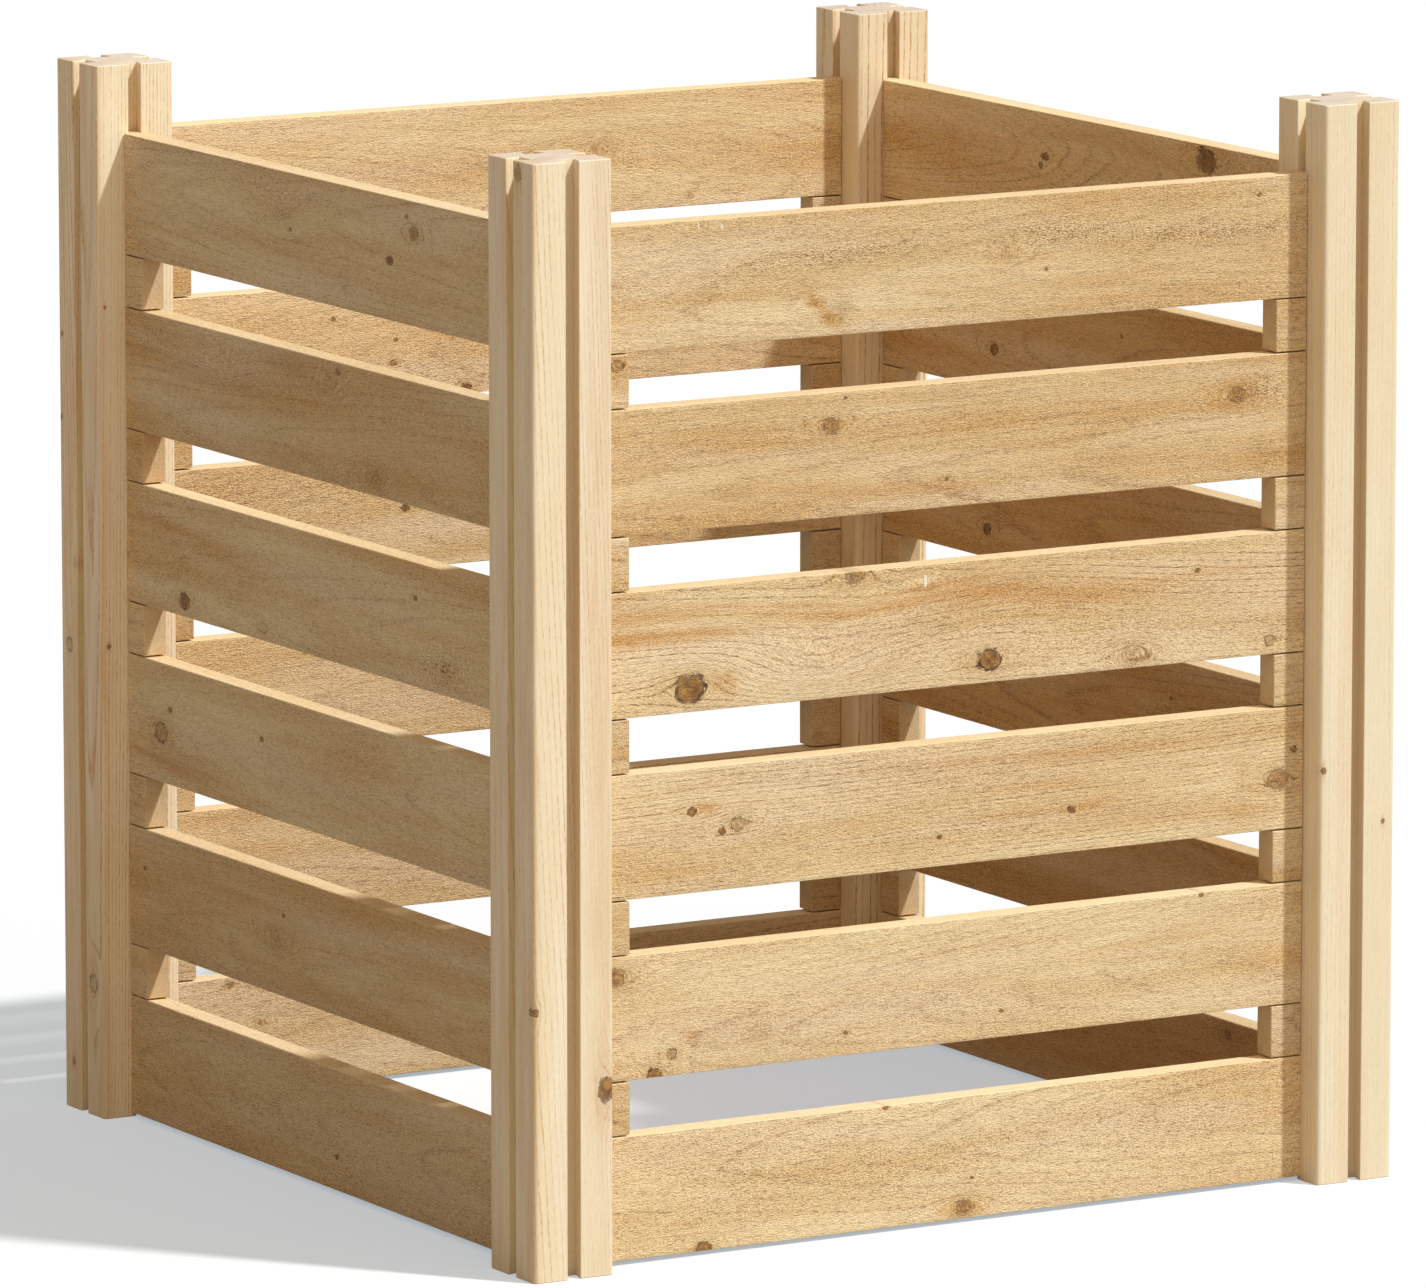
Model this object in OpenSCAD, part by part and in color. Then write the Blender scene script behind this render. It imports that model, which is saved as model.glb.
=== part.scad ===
// Slatted wooden composter. Four grooved corner posts hold four walls of boards kept apart by spacer
// blocks. Boards and spacers end in dovetail tongues that slide down the grooves from the top of the posts.
// The origin lies on the ground at the middle of the footprint, +Z is up, and the front wall faces -Y.

/* [Posts] */
// Width and depth of a post
post_width = 63.5; // [56:0.5:76]
// Height of a post above the top boards
post_rise = 50.5; // [0:0.5:150]
// Radius of the eased long edges of a post
post_edge_radius = 3; // [1:0.5:6]
// Width of the dovetail groove in each face of a post, at its mouth
groove_mouth = 10; // [7:0.2:12]
// Depth of that groove
groove_depth = 12.7; // [8:0.1:16]
// Angle in degrees by which each side of the groove flares out towards its floor
groove_flare = 14; // [8:0.5:16]

/* [Walls] */
// Clear distance between neighbouring posts
wall_span = 585; // [400:5:900]
// Thickness of the boards and spacers
wall_thickness = 19; // [17:0.5:25]
// Number of boards in a wall
board_count = 6; // [2:1:7]
// Height of a board
board_height = 89; // [40:0.5:150]
// Height of a spacer, which is the air gap between two boards
spacer_height = 39.5; // [10:0.5:80]
// Distance that a spacer stands out from its post
spacer_reach = 26; // [15:0.5:60]
// Height of the bottom boards above the ground
ground_gap = 3; // [0.5:0.5:20]

/* [Fit] */
// Gap on each side of a tongue in its groove, across the thickness of the wall
tongue_side_gap = 0.3; // [0.1:0.1:0.8]
// Gap between a tongue's end and the floor of its groove
tongue_end_gap = 0.9; // [0.3:0.1:2]
// Gap between the shoulder of a loose piece and its post
shoulder_gap = 0.4; // [0.2:0.1:1]

/* [Hidden] */
$fn = 48;
SIDES = ["front", "right", "back", "left"];
CORNERS = ["front_left", "front_right", "back_right", "back_left"];
ENDS = [-1, 1];

post_offset = (wall_span + post_width) / 2;
course_height = board_height + spacer_height;
wall_top = ground_gap + board_count * course_height - spacer_height;
post_height = wall_top + post_rise;
tongue_length = groove_depth - tongue_end_gap;
spacer_inner_end = wall_span / 2 - spacer_reach;
cut_margin = 1;
// Length by which a tongue starts inside its own block
tongue_root = 2;

function post_name(corner) = str(CORNERS[corner], "_post");
function board_name(side, level) = str(SIDES[side], "_board_", level);
function spacers_name(side, level) = str(SIDES[side], "_spacers_", level);

// Levels count from 1 at the ground. A spacer pair stands on the board of its own level.
function board_base(level) = ground_gap + (level - 1) * course_height;
function spacer_base(level) = board_base(level) + board_height;

// The bottom boards fit tight between the posts and carry the rest of the wall.
function shoulder_gap_at(level) = level == 1 ? 0 : shoulder_gap;

// Half widths of the groove and of a tongue at a depth behind the face of the post
function groove_half(depth) = groove_mouth / 2 + depth * tan(groove_flare);
function tongue_half(depth) = groove_half(depth) - tongue_side_gap;

// Turns the front wall's frame to the wall on another side.
module on_side(side) {
    rotate(90 * side)
        translate([0, -post_offset, 0])
            children();
}

// Plan of a square post with round corners.
module eased_square(width, radius) {
    square([width, width - 2 * radius], center = true);
    square([width - 2 * radius, width], center = true);
    for (x = ENDS, y = ENDS)
        translate([x * (width / 2 - radius), y * (width / 2 - radius)])
            circle(radius);
}

// Plan of a dovetail that lies along +X and is cut off at two depths, each with its half width.
module dovetail_plan(start, start_half, end, end_half) {
    polygon([[start, -start_half], [end, -end_half], [end, end_half], [start, start_half]]);
}

// Plan of the groove in the +X side of a block whose face lies at X = 0. The groove runs out past that face.
module groove_plan() {
    rotate(180)
        dovetail_plan(-cut_margin, groove_half(-cut_margin), groove_depth, groove_half(groove_depth));
}

// Plan of a post: all four faces are grooved, so every post is the same and can start another bin.
module post_plan() {
    difference() {
        eased_square(post_width, post_edge_radius);
        for (face = [0 : 3])
            rotate(90 * face)
                translate([post_width / 2, 0])
                    groove_plan();
    }
}

// Plan of the tongue at the right-hand end of a wall, which is wider at its tip than at its neck.
module tongue_plan() {
    translate([wall_span / 2, 0])
        dovetail_plan(-tongue_root, tongue_half(-tongue_root), tongue_length, tongue_half(tongue_length));
}

// Plan of a board, with both faces cut back at each end to leave a tongue.
module board_plan(gap) {
    square([wall_span - 2 * gap, wall_thickness], center = true);
    for (end = [0, 1])
        rotate(180 * end)
            tongue_plan();
}

// Plan of one spacer at the right-hand end of a wall, with its tongue towards the post.
module spacer_plan() {
    translate([spacer_inner_end, -wall_thickness / 2])
        square([spacer_reach - shoulder_gap, wall_thickness]);
    tongue_plan();
}

module post(corner) {
    color("#ecd9b0")
        rotate(90 * corner)
            translate([-post_offset, -post_offset, 0])
                linear_extrude(post_height)
                    post_plan();
}

module board(side, level) {
    color("#dcb882")
        on_side(side)
            translate([0, 0, board_base(level)])
                linear_extrude(board_height)
                    board_plan(shoulder_gap_at(level));
}

module spacers(side, level) {
    color("#d9b57e")
        on_side(side)
            translate([0, 0, spacer_base(level)])
                linear_extrude(spacer_height)
                    for (end = [0, 1])
                        rotate(180 * end)
                            spacer_plan();
}

for (corner = [0 : 3])
    post(corner);

for (side = [0 : 3], level = [1 : board_count])
    board(side, level);

for (side = [0 : 3], level = [1 : board_count - 1])
    spacers(side, level);
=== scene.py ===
# Slatted wooden composter: rough-sawn cedar boards and spacer blocks held in four planed, grooved posts.
import math

import bpy
import numpy as np
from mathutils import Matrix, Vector


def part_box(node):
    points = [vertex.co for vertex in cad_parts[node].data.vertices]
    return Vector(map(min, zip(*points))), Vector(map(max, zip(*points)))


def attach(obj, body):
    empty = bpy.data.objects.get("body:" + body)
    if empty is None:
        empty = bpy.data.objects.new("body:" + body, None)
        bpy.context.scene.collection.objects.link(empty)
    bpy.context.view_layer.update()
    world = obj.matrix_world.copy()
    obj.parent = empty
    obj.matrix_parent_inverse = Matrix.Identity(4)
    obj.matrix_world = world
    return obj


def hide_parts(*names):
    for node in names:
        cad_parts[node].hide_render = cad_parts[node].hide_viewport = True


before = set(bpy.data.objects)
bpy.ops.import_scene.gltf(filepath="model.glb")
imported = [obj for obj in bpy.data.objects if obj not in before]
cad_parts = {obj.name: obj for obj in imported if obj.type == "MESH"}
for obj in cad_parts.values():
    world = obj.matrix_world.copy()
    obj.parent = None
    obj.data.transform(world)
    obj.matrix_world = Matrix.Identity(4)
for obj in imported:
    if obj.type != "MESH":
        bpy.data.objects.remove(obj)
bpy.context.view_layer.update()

# Sizes are in millimetres while a piece is worked out, and turned to metres as its mesh is made.
MM = 0.001
SIDES = ("front", "right", "back", "left")
CORNERS = ("front_left", "front_right", "back_right", "back_left")
BOARD_COUNT = sum(name.startswith("front_board_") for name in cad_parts)
FIXED_BODY = "post_frame"


def node_box(name):
    """Lowest and highest corner of a CAD node in millimetres."""
    return [np.array(corner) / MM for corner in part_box(name)]


post_low, post_high = node_box("front_left_post")
POST_WIDTH = post_high[0] - post_low[0]
POST_HEIGHT = post_high[2]
POST_OFFSET = -(post_low[0] + post_high[0]) / 2
HALF_SPAN = POST_OFFSET - POST_WIDTH / 2
WALL_THICKNESS = 19.0
SPACER_REACH = 26.0
SHOULDER_GAP = 0.4
GROOVE_MOUTH = 10.0
GROOVE_DEPTH = 12.7
GROOVE_SLOPE = math.tan(math.radians(14))
TONGUE_REACH = 11.8
TONGUE_SIDE_GAP = 0.3
POST_EDGE_RADIUS = 3.0
# A board's saw-cut edges are hardly eased, and a spacer leaves a dark line under and over it.
BOARD_EASE = 0.6
BOARD_SEAM = 0.15
SPACER_SEAM = 1.0
TONGUE_EASE = 0.6
END_EASE = 0.5
POST_END_EASE = 0.35
# How deep the saw's hollows are, and how far a knot's middle lies below the face
SAW_RELIEF = 0.3
KNOT_DEPTH = 0.35
# Spacing of the mesh points along the blocks and up the posts
GRID = 3.2
POST_GRID = 7.0
SHARP_ANGLE = math.radians(22)
# A piece's number seeds its random draws, and sets its place along one long log
SEEDS_A_WALL = 20
FIRST_SPACER_SEED = 100
FIRST_POST_SEED = 300
FIRST_SURFACE_SEED = 4000
LOG_STEP = 2500.0


# Smooth irregularity
def soft_noise(rng, x, y, cell_x, cell_y):
    """Random values from -1 to 1 on a lattice of cells, blended between its points by 3t^2 - 2t^3."""
    gx = (x - x.min()) / cell_x
    gy = (y - y.min()) / cell_y
    ix = gx.astype(int)
    iy = gy.astype(int)
    values = rng.uniform(-1, 1, (ix.max() + 2, iy.max() + 2))
    tx = (gx - ix) ** 2 * (3 - 2 * (gx - ix))
    ty = (gy - iy) ** 2 * (3 - 2 * (gy - iy))
    low = values[ix, iy] * (1 - tx) + values[ix + 1, iy] * tx
    high = values[ix, iy + 1] * (1 - tx) + values[ix + 1, iy + 1] * tx
    return low * (1 - ty) + high * ty


# Outlines
def block_outline(through, across):
    """Unit outline of an eased rectangle. A point of it is inner times the half size less the ease, plus
    outward times the ease: each face runs from -1 to 1 along its tangent, and turns 90 degrees in steps."""
    inner = []
    outward = []
    for face in range(4):
        normal = np.array([math.cos(face * math.pi / 2), math.sin(face * math.pi / 2)]).round()
        tangent = np.array([-normal[1], normal[0]])
        length = across if face % 2 == 0 else through
        run = np.linspace(-1, 1, max(3, round(length / GRID)) + 1)[:, None]
        turn = np.radians([30.0, 60.0])[:, None]
        inner += [normal + run * tangent, np.repeat([normal + tangent], 2, axis=0)]
        outward += [np.repeat([normal], len(run), axis=0), np.cos(turn) * normal + np.sin(turn) * tangent]
    return np.concatenate(inner), np.concatenate(outward)


def groove_half(depth):
    """Half the width of a post's groove at a depth: it grows evenly from the mouth to the floor."""
    return GROOVE_MOUTH / 2 + depth * GROOVE_SLOPE


def post_outline():
    """Outline of a post in millimetres with the outward direction at each point: four times a flat, a
    dovetail groove with eased lips, a flat and a round corner, each time turned by 90 degrees."""
    half = POST_WIDTH / 2
    lip = GROOVE_MOUTH / 2
    ease = 0.5
    edge = half - POST_EDGE_RADIUS
    floor = half - GROOVE_DEPTH
    across_flat = np.linspace(-edge + 4, -lip - ease - 3, 4)
    flat = np.concatenate([[-edge, -edge + 0.5], across_flat, [-lip - ease]])
    wall = [(half - depth, groove_half(depth)) for depth in np.linspace(ease, GROOVE_DEPTH, 5)]
    steep = math.cos(math.atan(GROOVE_SLOPE))
    side = [(half, y, 1, 0) for y in flat]
    side += [(x, -y, -steep * GROOVE_SLOPE, steep) for x, y in wall]
    side += [(floor, y, 1, 0) for y in (-lip / 2, lip / 2)]
    side += [(x, y, -steep * GROOVE_SLOPE, -steep) for x, y in wall[::-1]]
    side += [(half, -y, 1, 0) for y in flat[::-1]]
    turn = np.radians(np.arange(15, 90, 15))
    side += [(edge + POST_EDGE_RADIUS * math.cos(t), edge + POST_EDGE_RADIUS * math.sin(t),
              math.cos(t), math.sin(t)) for t in turn]
    side = np.array(side, float)
    points = []
    normals = []
    for face in range(4):
        angle = face * math.pi / 2
        turned = np.array([[math.cos(angle), math.sin(angle)], [-math.sin(angle), math.cos(angle)]]).round()
        points.append(side[:, :2] @ turned)
        normals.append(side[:, 2:] @ turned)
    return np.concatenate(points), np.concatenate(normals)


def tube_faces(stations, around, start=0):
    """Quads between neighbouring stations of a closed outline, and a flat face over each end."""
    station, point = np.meshgrid(np.arange(stations - 1), np.arange(around), indexing="ij")
    here = start + station * around + point
    beside = start + station * around + (point + 1) % around
    quads = np.stack([here, beside, beside + around, here + around], axis=-1).reshape(-1, 4)
    low_end = start + np.arange(around)[::-1]
    high_end = start + (stations - 1) * around + np.arange(around)
    return quads, [low_end, high_end]


# Blocks: boards and spacers, worked out along, across and through the piece
def block_surface(rng, rows, height, relief):
    """An eased rectangle carried along the piece. Rows are (place along, half thickness, inset). The
    surface is sunk by relief times two sizes of smooth noise from 0 to 1, and the ease wanders along the
    edges."""
    rows = np.array(rows)
    inner, outward = block_outline(WALL_THICKNESS, height)
    along = np.repeat(rows[:, :1], len(inner), axis=1)
    round_it = np.repeat(np.linspace(0, 2 * (height + WALL_THICKNESS), len(inner))[None], len(rows), axis=0)
    coarse = soft_noise(rng, along, round_it, 55, 14)
    fine = soft_noise(rng, along, round_it, 11, 6.5)
    on_edge = np.abs(outward[:, 1]) > 0.9
    sunk = relief * (0.5 + 0.28 * coarse + 0.22 * fine) * np.where(on_edge, 0.35, 1)
    ease = BOARD_EASE * (1 + 0.2 * soft_noise(rng, along, round_it, 16, 20))
    half_through = (rows[:, 1] - rows[:, 2])[:, None]
    half_across = (height / 2 - rows[:, 2])[:, None]
    through = inner[:, 0] * (half_through - ease) + outward[:, 0] * (ease - sunk)
    across = inner[:, 1] * (half_across - ease) + outward[:, 1] * (ease - sunk)
    points = np.stack([along, across, through], axis=-1).reshape(-1, 3)
    quads, ends = tube_faces(len(rows), len(inner))
    return points, quads, ends


def tongue_rows(gap):
    """Stations of the dovetail tongue at the right-hand end of a wall: its eased tip, then its neck."""
    tip = HALF_SPAN + TONGUE_REACH
    return [(tip, groove_half(TONGUE_REACH) - TONGUE_SIDE_GAP, TONGUE_EASE),
            (tip - TONGUE_EASE, groove_half(TONGUE_REACH - TONGUE_EASE) - TONGUE_SIDE_GAP, 0),
            (HALF_SPAN - gap, groove_half(-gap) - TONGUE_SIDE_GAP, 0)]


def board_rows(gap):
    """Stations of a board: a tongue, a step out to the body, the body on an even grid, and the mirrored
    step and tongue."""
    body = HALF_SPAN - gap
    full = WALL_THICKNESS / 2
    half = tongue_rows(gap) + [(body, full, END_EASE), (body - END_EASE, full, 0)]
    grid = np.linspace(-body + GRID, body - GRID, round(2 * body / GRID) - 1)
    return [(-a, h, i) for a, h, i in half] + [(a, full, 0) for a in grid] + half[::-1]


def spacer_rows():
    """Stations of the right-hand spacer of a wall: its sawn inner end, its body, the step and a tongue."""
    full = WALL_THICKNESS / 2
    inner_end = HALF_SPAN - SPACER_REACH
    body = HALF_SPAN - SHOULDER_GAP
    grid = np.linspace(inner_end + END_EASE, body - END_EASE, 8)
    return ([(inner_end, full, END_EASE)] + [(a, full, 0) for a in grid] + [(body, full, END_EASE)]
            + tongue_rows(SHOULDER_GAP)[::-1])


# What the wood of one piece looks like
KNOT_KINDS = {
    # core darkness, dark bark ring, coloured halo
    "dead": (0.95, 1.0, 0.6),
    "sound": (0.68, 0.4, 0.7),
    "ringed": (0.35, 0.8, 0.55),
    "pin": (0.85, 1.0, 0.5),
    "ghost": (0.18, 0.05, 0.5),
    "amber": (0.1, 0.0, 1.55),
    # a pale torn sliver, upright on the face, rather than a knot
    "chip": (-1.0, 0.0, 0.0),
}
STAIN_KINDS = ("orange", "red", "speckle")


def look(light=1.0, warm=0.4, rings=(30, -70, 0.02, 0.05, 3.2, 0.3), knots=(), swirls=(), stains=()):
    """One piece's wood, in millimetres, with across counted from a board's lower edge.
    rings: the pith's place across and through, its drift across and through per unit of length, the ring
    spacing and how much the rings show.
    knots: (along, across, radius, kind).
    swirls: (along, across, half length, half height, dip of the ring lines).
    stains: (kind, along, across, half length, half height, slope, amount)."""
    return dict(light=light, warm=warm, rings=rings, knots=knots, swirls=swirls, stains=stains)


LOOKS = {
    "front_board_6": look(
        1.0, 0.45, (40, -90, 0.02, 0.04, 3.6, 0.25),
        [(-117, 25, 2.4, "amber"), (-103, 12, 2.6, "amber"), (251, 76, 1.6, "pin"), (73, 35, 1.2, "pin"),
         (38, 50, 4, "ghost"), (-211, 85, 2.2, "chip"), (-192, 83, 2.2, "chip")],
        stains=[("orange", -110, 18, 15, 5, -0.85, 1.2), ("red", -95, 22, 8, 10, 0.0, 0.9),
                ("speckle", -95, 57, 75, 6, 0.02, 1.0), ("speckle", 85, 60, 42, 8, -0.05, 1.2),
                ("speckle", 212, 53, 62, 5, -0.03, 1.2), ("orange", 120, 20, 160, 16, 0.0, 0.3)]),
    "front_board_5": look(
        0.99, 0.58, (20, -120, -0.02, 0.02, 2.6, 0.3),
        [(-104, 65, 6, "sound"), (-92, 84, 1.4, "pin"), (-9, 20, 1.4, "pin"), (234, 62, 6.5, "sound")],
        stains=[("orange", 232, 64, 18, 10, 0.3, 0.8), ("speckle", 258, 66, 18, 10, 0.0, 0.9),
                ("red", 15, 75, 50, 8, 0.0, 0.4), ("orange", -262, 48, 40, 8, 0.0, 0.5),
                ("orange", -174, 19, 110, 9, 0.0, 0.5), ("orange", -46, 14, 80, 5, 0.0, 0.4)]),
    "front_board_4": look(
        1.04, 0.28, (120, -50, -0.03, 0.03, 4.0, 0.6),
        [(-84, 86, 7, "sound"), (-218, 17, 10.5, "dead"), (27, 16, 8, "dead"), (147, 10, 9, "ghost"),
         (263, 10, 4, "ringed"), (201, 66, 1.9, "pin"), (-26, 77, 4.5, "chip")],
        [(-118, 20, 60, 22, 16), (60, 60, 90, 30, -8)],
        [("orange", -240, 69, 70, 4, 0.0, 1.3), ("orange", -250, 55, 70, 4.5, 0.0, 1.6),
         ("orange", -125, 64, 70, 6, -0.06, 1.5), ("orange", -35, 68, 55, 5, 0.14, 1.5),
         ("orange", 35, 66, 60, 9, 0.0, 1.0), ("orange", 110, 57, 70, 6, 0.0, 1.2),
         ("orange", 200, 62, 70, 4, 0.08, 0.6), ("red", -270, 79, 35, 8, -0.05, 0.5),
         ("orange", -189, 19, 9, 8, 0.0, 0.8)]),
    "front_board_3": look(
        1.04, 0.33, (112, -30, 0.02, 0.02, 2.9, 0.65),
        [(-216, 58, 3.2, "dead"), (-179, 46, 5, "ringed"), (-192, 42, 2.4, "dead"), (-14, 21, 1.8, "pin"),
         (96, 31, 2.8, "dead"), (270, 37, 8, "sound"), (284, 58, 2.4, "pin")],
        (),
        [("orange", -204, 60, 9, 4, 0.0, 0.9), ("orange", 45, 31, 50, 2.2, 0.0, 0.9),
         ("orange", 112, 33, 16, 3, 0.1, 0.9), ("orange", 243, 13, 18, 7, 0.0, 0.7),
         ("orange", 240, 45, 10, 12, 0.0, 0.5), ("orange", 200, 20, 90, 14, 0.0, 0.4),
         ("orange", 60, 72, 110, 5, -0.02, 0.7), ("orange", 70, 52, 90, 5, 0.02, 0.5)]),
    "front_board_2": look(
        1.04, 0.2, (30, -85, 0.03, 0.04, 3.4, 0.28),
        [(-278, 74, 7, "sound"), (-233, 16, 3.6, "ringed"), (-247, 2, 5, "dead"), (-91, 16, 1.5, "pin"),
         (38, 19, 1.5, "pin"), (206, 87, 1.8, "pin")],
        [(-180, 10, 85, 22, 10)],
        [("red", -173, 17, 75, 14, 0.0, 0.6), ("red", -276, 72, 16, 12, 0.0, 0.7),
         ("orange", -218, 28, 9, 5, 0.0, 0.6), ("orange", -162, 21, 9, 6, 0.0, 0.6),
         ("orange", 170, 58, 50, 6, 0.1, 0.5)]),
    "front_board_1": look(
        1.09, 0.18, (60, -70, 0.0, 0.05, 4.2, 0.25),
        [(-207, 2, 5, "dead"), (7, 8, 6.5, "sound"), (-58, 87, 1.6, "pin"), (14, 29, 1.4, "pin")],
        [(-28, 75, 40, 14, 7)],
        [("orange", 7, 8, 16, 8, 0.0, 0.9), ("speckle", 0, 45, 300, 40, 0.0, 0.35)]),
    "left_board_6": look(
        0.97, 0.52, (60, -90, 0.02, 0.03, 3.2, 0.3),
        [(-36, 48, 1.4, "pin"), (112, 43, 3.5, "dead"), (147, 66, 5.5, "sound"),
         (137, 77, 1.6, "pin"), (47, 15, 3, "ghost")],
        [(-55, 52, 45, 24, 13)],
        [("red", -48, 57, 20, 10, 0.0, 0.4)]),
    "left_board_5": look(
        0.94, 0.6, (20, -110, 0.02, 0.02, 3.2, 0.35),
        [(34, 82, 3, "sound"), (91, 12, 8, "ghost"), (24, 72, 5, "ghost")],
        [(-165, 62, 60, 18, 12)],
        [("red", -45, 80, 40, 8, 0.0, 0.6), ("red", 91, 12, 25, 12, 0.0, 0.8),
         ("orange", -149, 75, 70, 8, 0.0, 0.7)]),
    "left_board_4": look(
        1.0, 0.38, (30, -110, 0.0, 0.03, 3.4, 0.22),
        [(-202, 12, 6.5, "dead"), (147, 64, 2.2, "pin"), (-81, 10, 4, "ghost"), (191, 19, 6, "ghost")],
        stains=[("orange", -205, 60, 75, 7, -0.1, 1.0), ("speckle", 191, 19, 30, 12, 0.0, 0.9)]),
    "left_board_3": look(
        0.98, 0.45, (50, -80, 0.02, 0.05, 3.4, 0.2),
        [(-241, 37, 8, "ringed"), (-226, 56, 2.2, "pin"), (-84, 56, 2.2, "pin")],
        stains=[("orange", -225, 14, 75, 5, -0.06, 1.0), ("red", -215, 20, 60, 10, 0.0, 0.5)]),
    "left_board_2": look(
        0.95, 0.62, (20, -85, -0.03, 0.03, 3.2, 0.22),
        [(-268, 60, 1.8, "pin"), (-52, 60, 1.8, "pin"), (-64, 42, 7, "ghost")],
        stains=[("red", -64, 42, 24, 10, 0.0, 0.7), ("orange", -120, 64, 110, 4, 0.0, 0.8)]),
    "left_board_1": look(
        1.0, 0.5, (45, -85, 0.0, 0.05, 3.6, 0.2), [(27, 25, 2, "dead")],
        stains=[("speckle", 0, 40, 300, 40, 0.0, 0.5)]),
    "right_board_6": look(
        1.05, 0.55, (58, 60, 0.0, -0.1, 3.2, 0.4),
        [(-163, 77, 10, "dead"), (58, 56, 3.2, "dead"), (65, 49, 2.4, "pin")],
        [(-40, 58, 95, 22, -9)],
        [("speckle", -190, 60, 30, 25, 0.0, 0.8), ("orange", 189, 50, 8, 14, 0.0, 0.6)]),
    # The right wall's lower boards are darker and warmer: painted shade, for their inner faces that lie in
    # the shade of the bin
    "right_board_5": look(
        0.93, 0.95, (40, 80, 0.0, 0.05, 3.6, 0.3), [(130, 31, 4.5, "dead"), (-49, 63, 1.6, "pin")]),
    "right_board_4": look(
        0.94, 0.85, (40, 90, 0.0, 0.03, 3.4, 0.3), [(139, 22, 4.5, "dead")],
        stains=[("red", 165, 45, 45, 20, 0.0, 0.5)]),
    "right_board_3": look(0.93, 0.9, (40, 85, 0.0, 0.03, 3.2, 0.4), [(-120, 60, 1.6, "pin")]),
    "right_board_2": look(0.93, 0.85, (60, 95, 0.0, -0.03, 3.4, 0.35)),
    "right_board_1": look(
        0.93, 0.65, (30, 90, 0.0, 0.05, 4, 0.3), [(-200, 79, 4, "sound")],
        stains=[("red", -200, 79, 25, 10, 0.0, 0.7)]),
    "back_board_6": look(
        1.08, 0.36, (20, 70, 0.0, -0.09, 4, 0.3), [(-81, 48, 6, "ghost")], [(-85, 48, 60, 22, -9)]),
    "back_board_5": look(
        1.1, 0.38, (30, 80, 0.0, 0.06, 3.6, 0.3),
        [(97, 28, 2.4, "sound"), (35, 5, 3.5, "dead"), (95, 45, 1.6, "pin"), (148, 64, 1.6, "pin")]),
    "back_board_4": look(
        1.04, 0.45, (30, 80, 0.0, 0.06, 3.6, 0.25), [(87, 46, 3, "dead")],
        stains=[("speckle", 225, 66, 90, 22, 0.1, 0.5)]),
    "back_board_3": look(
        1.06, 0.38, (30, 85, 0.0, 0.04, 3.6, 0.25), stains=[("red", -60, 40, 90, 20, 0.1, 0.3)]),
    "back_board_2": look(
        1.05, 0.42, (60, 85, 0.0, 0.04, 3.6, 0.25), stains=[("orange", 240, 40, 60, 20, 0.1, 0.5)]),
    "back_board_1": look(
        1.02, 0.45, (30, 80, 0.0, 0.06, 4, 0.35), [(239, 83, 2.5, "sound"), (212, 52, 3, "ghost")]),
}


def grown_look(rng):
    """A likely board: a pith somewhere behind it, none to three knots, and a patch of raised fibres."""
    knots = [(rng.uniform(-260, 260), rng.uniform(8, 82), rng.uniform(1.5, 8),
              rng.choice(["sound", "pin", "ghost", "dead"])) for _ in range(rng.integers(0, 4))]
    rings = (rng.uniform(10, 80), rng.choice([-1, 1]) * rng.uniform(55, 110), rng.uniform(-0.04, 0.04),
             rng.uniform(-0.08, 0.08), rng.uniform(3.2, 4.4), rng.uniform(0.2, 0.45))
    stains = [("speckle", rng.uniform(-200, 200), rng.uniform(20, 70), rng.uniform(40, 120),
               rng.uniform(8, 20), rng.uniform(-0.05, 0.05), rng.uniform(0.2, 0.6))]
    return look(rng.uniform(0.93, 1.03), rng.uniform(0.3, 0.65), rings, knots, (), stains)


# A piece without knots gets one that is too far off to show
NOWHERE = 9999.0


def knot_table(knots, default_facing):
    """Knots as arrays: (along, across, radius), the look of its kind, and the way that its face looks."""
    rows = [(k[0], k[1], k[2]) for k in knots] or [(NOWHERE, 0.0, 1.0)]
    kinds = [KNOT_KINDS[k[3]] for k in knots] or [(0.0, 0.0, 0.0)]
    facing = [k[4] if len(k) > 4 else default_facing for k in knots] or [default_facing]
    return np.array(rows, float), np.array(kinds, float), np.radians(facing)


def knot_offsets(points, rows, facing, depth_limit):
    """Each point's offset from each knot's axis, along and across the grain, and how much of the knot
    reaches it: 1 at the face that the knot shows on, and under it the bell curve exp(-(depth / limit)^2)."""
    outward = np.stack([np.cos(facing), np.sin(facing)], axis=-1)
    sideways = np.stack([-outward[:, 1], outward[:, 0]], axis=-1)
    offset_along = points[:, :1] - rows[:, 0]
    offset_across = points[:, 1:] @ sideways.T - rows[:, 1]
    depth = depth_limit[0] - points[:, 1:] @ outward.T
    reach = np.exp(-(depth / (depth_limit[1] + 2 * rows[:, 2])) ** 2)
    return offset_along, offset_across, reach


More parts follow.
